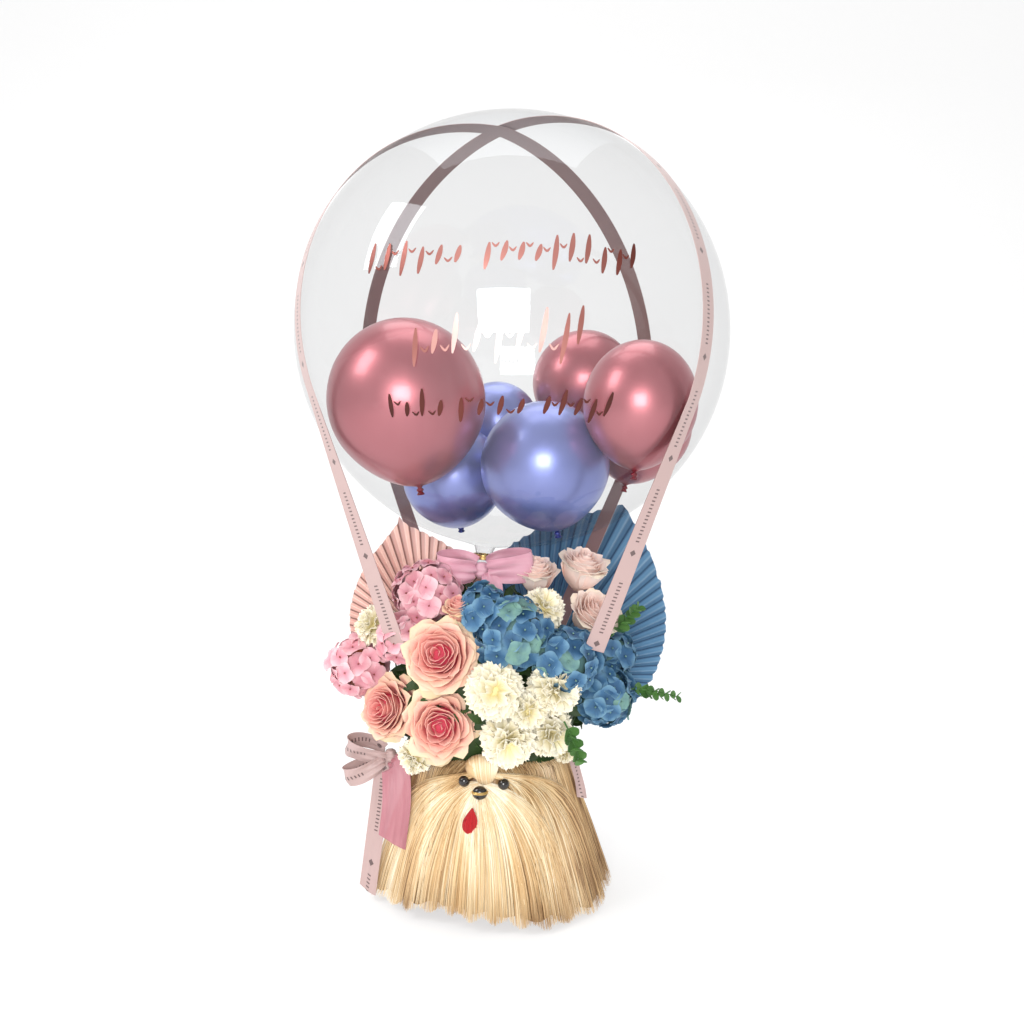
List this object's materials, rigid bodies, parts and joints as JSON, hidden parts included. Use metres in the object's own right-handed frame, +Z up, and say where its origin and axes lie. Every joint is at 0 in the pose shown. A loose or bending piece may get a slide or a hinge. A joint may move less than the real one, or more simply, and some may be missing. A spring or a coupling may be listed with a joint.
{
  "type": "clear bubble balloon bouquet",
  "caption": "Clear bubble balloon held by crossed ribbons over a mound of roses, hydrangeas, carnations and palm fans, in a pot dressed as a long-haired dog.",
  "frame": {"origin": "middle of the pot's foot, on the surface that the bouquet stands on", "axes": "+Z up through the pot, -Y towards the front, where the dog's face looks"},
  "size_m": [0.558, 0.5596, 0.9923],
  "materials": {
    "film": "gloss",
    "gold": "gloss",
    "ribbon": "satin",
    "organza": "satin",
    "pot": "satin",
    "hair": "satin",
    "black_button": "gloss",
    "tongue_thread": "matte",
    "leaves": "matte",
    "eucalyptus": "satin",
    "palm_pink": "matte",
    "palm_blue": "matte",
    "petal_blue": "matte",
    "petal_pink": "matte",
    "petal_cream": "matte",
    "petal_rose": "matte",
    "balloon_rose": "gloss",
    "balloon_blue": "gloss",
    "print_rose_gold": "gloss"
  },
  "bodies": {
    "root": {"bubble": "film", "neck_tie": "gold", "pot": "pot", "ribbon_lower": "ribbon", "ribbon_upper": "ribbon", "neck_bow_knot": "organza", "side_bow_knot": "ribbon", "neck_bow_loop_left": "organza", "neck_bow_loop_right": "organza", "neck_bow_tail": "organza", "side_bow_loop_back": "ribbon", "side_bow_loop_front": "ribbon", "side_tail_long": "ribbon", "side_tail_short": "organza", "tail_right": "ribbon", "topknot": "hair", "nose": "black_button", "tongue": "tongue_thread", "eye_left": "black_button", "eye_right": "black_button", "hair_coat": "hair", "palm_fan_pink": "palm_pink", "palm_fan_blue": "palm_blue", "leaf_bed": "leaves", "rose_front_upper": "petal_rose", "rose_front_lower": "petal_rose", "rose_left": "petal_rose", "rose_top_middle": "petal_rose", "rose_top_right": "petal_rose", "rose_right": "petal_rose", "bud_upper_left": "petal_rose", "carnation_middle": "petal_cream", "carnation_middle_right": "petal_cream", "carnation_front_lower": "petal_cream", "carnation_right_lower": "petal_cream", "carnation_centre": "petal_cream", "carnation_top": "petal_cream", "carnation_left": "petal_cream", "carnation_left_lower": "petal_cream", "carnation_right_small": "petal_cream", "hydrangea_pink_top": "petal_pink", "hydrangea_pink_left": "petal_pink", "hydrangea_pink_middle": "petal_pink", "hydrangea_blue_middle": "petal_blue", "hydrangea_blue_upper_left": "petal_blue", "hydrangea_blue_front": "petal_blue", "hydrangea_blue_right": "petal_blue", "hydrangea_blue_upper_right": "petal_blue", "rose_back_1_1": "petal_rose", "hydrangea_back_1_2": "petal_pink", "carnation_back_1_3": "petal_cream", "rose_back_1_4": "petal_rose", "hydrangea_back_1_5": "petal_pink", "carnation_back_1_6": "petal_cream", "hydrangea_back_2_1": "petal_pink", "rose_back_2_2": "petal_rose", "eucalyptus_upper_right": "eucalyptus", "eucalyptus_right": "eucalyptus", "eucalyptus_lower": "eucalyptus"}
  },
  "joints": []
}
